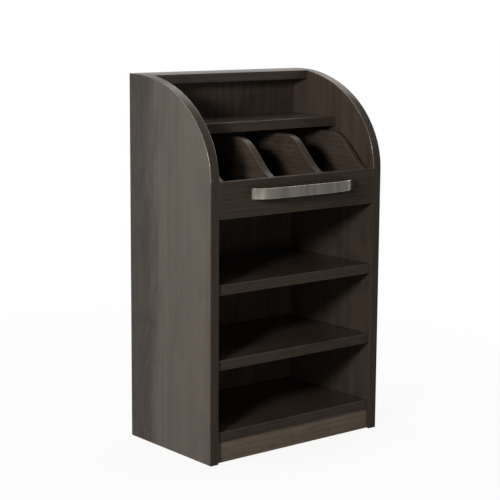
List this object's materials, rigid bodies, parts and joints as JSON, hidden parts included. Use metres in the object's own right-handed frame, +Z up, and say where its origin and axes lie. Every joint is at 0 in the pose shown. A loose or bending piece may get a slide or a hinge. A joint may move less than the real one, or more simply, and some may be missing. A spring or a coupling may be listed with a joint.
{
  "type": "waiter service station",
  "caption": "Dark wood cabinet with arched side panels, open crockery bays, a small counter and a sliding cutlery drawer with wave-topped dividers and a steel bow handle.",
  "frame": {"origin": "on the floor, under the middle of the cabinet's overall box, handle included", "axes": "+X to the right seen from the front, +Y from the drawer front to the back, +Z up"},
  "size_m": [0.7, 0.472, 1.187],
  "materials": {
    "dark_wood": "satin smoked-oak laminate",
    "taupe_board": "satin taupe laminate",
    "beech": "raw beech",
    "brushed_steel": "brushed nickel",
    "zinc_steel": "zinc plated",
    "glide_plastic": "moulded"
  },
  "bodies": {
    "cabinet": {"left_side_panel": "dark_wood", "right_side_panel": "dark_wood", "bottom_shelf": "dark_wood", "lower_shelf": "dark_wood", "middle_shelf": "dark_wood", "drawer_shelf": "dark_wood", "top_shelf": "dark_wood", "crown_board": "dark_wood", "back_panel": "dark_wood", "plinth_board": "taupe_board", "bottom_shelf_front_dowel_left": "beech", "bottom_shelf_front_dowel_right": "beech", "bottom_shelf_rear_dowel_left": "beech", "bottom_shelf_rear_dowel_right": "beech", "lower_shelf_front_dowel_left": "beech", "lower_shelf_front_dowel_right": "beech", "lower_shelf_rear_dowel_left": "beech", "lower_shelf_rear_dowel_right": "beech", "middle_shelf_front_dowel_left": "beech", "middle_shelf_front_dowel_right": "beech", "middle_shelf_rear_dowel_left": "beech", "middle_shelf_rear_dowel_right": "beech", "drawer_shelf_front_dowel_left": "beech", "drawer_shelf_front_dowel_right": "beech", "drawer_shelf_rear_dowel_left": "beech", "drawer_shelf_rear_dowel_right": "beech", "top_shelf_front_dowel_left": "beech", "top_shelf_front_dowel_right": "beech", "top_shelf_rear_dowel_left": "beech", "top_shelf_rear_dowel_right": "beech", "crown_board_front_dowel_left": "beech", "crown_board_front_dowel_right": "beech", "crown_board_rear_dowel_left": "beech", "crown_board_rear_dowel_right": "beech", "plinth_dowel_left": "beech", "plinth_dowel_right": "beech", "front_glide_left": "glide_plastic", "front_glide_right": "glide_plastic", "rear_glide_left": "glide_plastic", "rear_glide_right": "glide_plastic", "left_runner_cabinet_member": "zinc_steel", "right_runner_cabinet_member": "zinc_steel"},
    "runner_middle": {"left_runner_middle_member": "zinc_steel", "right_runner_middle_member": "zinc_steel"},
    "drawer": {"drawer_front": "dark_wood", "drawer_left_wall": "dark_wood", "drawer_right_wall": "dark_wood", "drawer_back": "dark_wood", "drawer_bottom": "dark_wood", "drawer_left_divider": "dark_wood", "drawer_right_divider": "dark_wood", "handle_bow": "brushed_steel", "handle_left_post": "brushed_steel", "handle_right_post": "brushed_steel", "handle_left_screw": "zinc_steel", "handle_right_screw": "zinc_steel", "left_runner_drawer_member": "zinc_steel", "right_runner_drawer_member": "zinc_steel"}
  },
  "joints": [
    {"name": "drawer_slide", "type": "slide", "parent": "cabinet", "child": "drawer", "axis": [0, -1, 0], "range_m": [0, 0.34]},
    {"name": "runner_middle_slide", "type": "slide", "parent": "cabinet", "child": "runner_middle", "axis": [0, -1, 0], "range_m": [0, 0.17]}
  ],
  "couplings": [
    {"joint": "runner_middle_slide", "follows": "drawer_slide", "ratio": 0.5}
  ]
}
